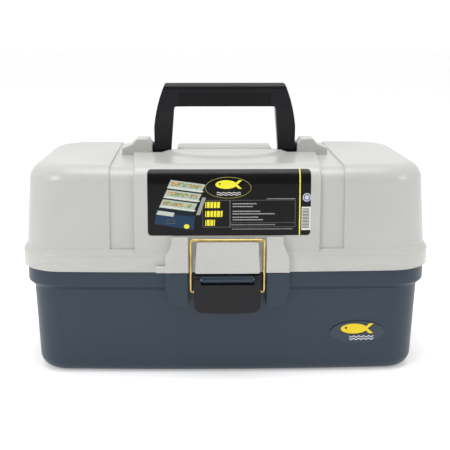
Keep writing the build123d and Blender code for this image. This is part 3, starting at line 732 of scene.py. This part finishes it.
for tray_x, tray_z in ((-53.3, 197.9), (-48.7, 208.2), (-44.6, 218.6)):
    art.lay(art.panel(tray_x, tray_z, 39.5, 9.4, tray_lean, tray_tilt), (0.42, 0.48, 0.42))
    things = art.panel(tray_x, tray_z + 1.0, 35.0, 4.4, tray_lean, tray_tilt)
    art.lay(art.both(art.both(things, lure_gate), lure_strength), lure_colour)
    art.lay(art.panel(tray_x, tray_z - 3.4, 39.5, 1.3, tray_lean, tray_tilt), (0.62, 0.66, 0.6))

# oval with a fish over waves
art.lay(art.ring(0.8, 217.0, 25.0, 11.4, line=0.45), (0.35, 0.34, 0.08))
art.fish(-1.5, 220.5, 11.5, print_yellow, label_black)
for wave_z in (211.6, 209.4):
    art.lay(art.wave(1.5, wave_z, length=26.0, swing=0.5, line=0.75), print_white)

# two framed panels: broken bars in place of words
hairline = 0.35
text_left = 5.5
art.lay(art.frame(-12.1, 188.8, 29.8, 29.6, hairline), print_grey)
art.lay(art.frame(38.3, 188.8, 71.0, 29.6, hairline), print_grey)
for bar_z, bar_length in ((198.4, 16.5), (188.6, 18.6), (178.9, 10.4)):
    bar = art.panel(-24.0 + bar_length / 2, bar_z, bar_length, 6.6, lean=0.08)
    art.lay(art.both(bar, art.blocks(art.x, pitch=3.7, share=0.78)), print_yellow)
rows = ((199.6, 26.0), (196.6, 22.0), (191.4, 30.0), (188.6, 46.0), (184.9, 28.0), (182.1, 33.0))
for row_z, row_length in rows:
    row = art.panel(text_left + row_length / 2, row_z, row_length, 1.15)
    art.lay(art.both(row, art.blocks(art.x, pitch=1.9, share=0.72)), (0.4, 0.4, 0.39))
art.lay(art.panel(38.3, 178.9, 71.0, 0.3), print_grey)
for row_x, row_z, row_length in ((28.0, 176.7, 48.0), (38.0, 171.9, 66.0), (58.0, 204.9, 31.0)):
    row = art.panel(row_x, row_z, row_length, 1.0)
    art.lay(art.both(row, art.blocks(art.x, pitch=1.7, share=0.7)), (0.3, 0.3, 0.29))

# stripe, spot and striped panel at the right
art.lay(art.panel(78.6, 200.0, 1.3, 80.0), (0.83, 0.77, 0.12))
art.lay(art.oval(86.2, 206.2, 4.6, 4.6), (0.55, 0.57, 0.62))
art.lay(art.ring(86.2, 206.2, 3.7, 3.7, line=1.3), (0.1, 0.12, 0.25))
art.lay(art.panel(85.6, 183.2, 9.9, 25.5), print_white)
stripes = art.both(art.panel(85.2, 183.2, 7.6, 22.0), art.blocks(art.z, pitch=1.6, share=0.55))
art.lay(stripes, (0.03, 0.03, 0.03))

feed(film_tree, film_shader.inputs["Base Color"], art.colour)
film_smears = noise(film_tree, scale=60.0, detail=4.0)
film_roughness = ramp(film_tree, film_smears, low=0.3, high=0.7, out_low=0.17, out_high=0.26)
feed(film_tree, film_shader.inputs["Roughness"], film_roughness)
film_waviness = noise(film_tree, scale=22.0, detail=2.0)
raise_grain(film_tree, film_shader, film_waviness, strength=0.12, distance=0.6 * mm)
film_shader.inputs["Specular IOR Level"].default_value = 0.22
finish_node("front_label", film)

# ---- Badge --------------------------------------------------------------------------
# A small oval plate in the colour of the tub, printed with the fish over waves and
# glued to the tub's front.

plate, plate_tree, plate_shader = new_material("badge_print")
plate_slate = (0.026, 0.041, 0.063)
plate_pale_slate = (0.03, 0.046, 0.07)
badge_black = (0.012, 0.012, 0.01)
badge_yellow = (0.8, 0.6, 0.008)
plate_cloud = ramp(plate_tree, noise(plate_tree, scale=25.0), low=0.3, high=0.7)
mark = Print(plate_tree, blend(plate_tree, plate_cloud, plate_slate, plate_pale_slate))
mark.fish(144.5, 52.5, 16.0, badge_black, badge_black)
mark.fish(144.0, 53.3, 15.0, badge_yellow, badge_black)
for wave_z in (43.6, 40.6):
    mark.lay(mark.wave(153.0, wave_z, length=28.0, swing=0.7, line=1.2), (0.6, 0.62, 0.66))
feed(plate_tree, plate_shader.inputs["Base Color"], mark.colour)
plate_wear = noise(plate_tree, scale=90.0, detail=4.0)
plate_roughness = ramp(plate_tree, plate_wear, low=0.3, high=0.7, out_low=0.3, out_high=0.42)
feed(plate_tree, plate_shader.inputs["Roughness"], plate_roughness)
plate_grain = noise(plate_tree, fine_texture, detail=2.0)
raise_grain(plate_tree, plate_shader, plate_grain, strength=0.2, distance=0.03 * mm)
plate_shader.inputs["Specular IOR Level"].default_value = 0.4
finish_node("base_badge", plate)
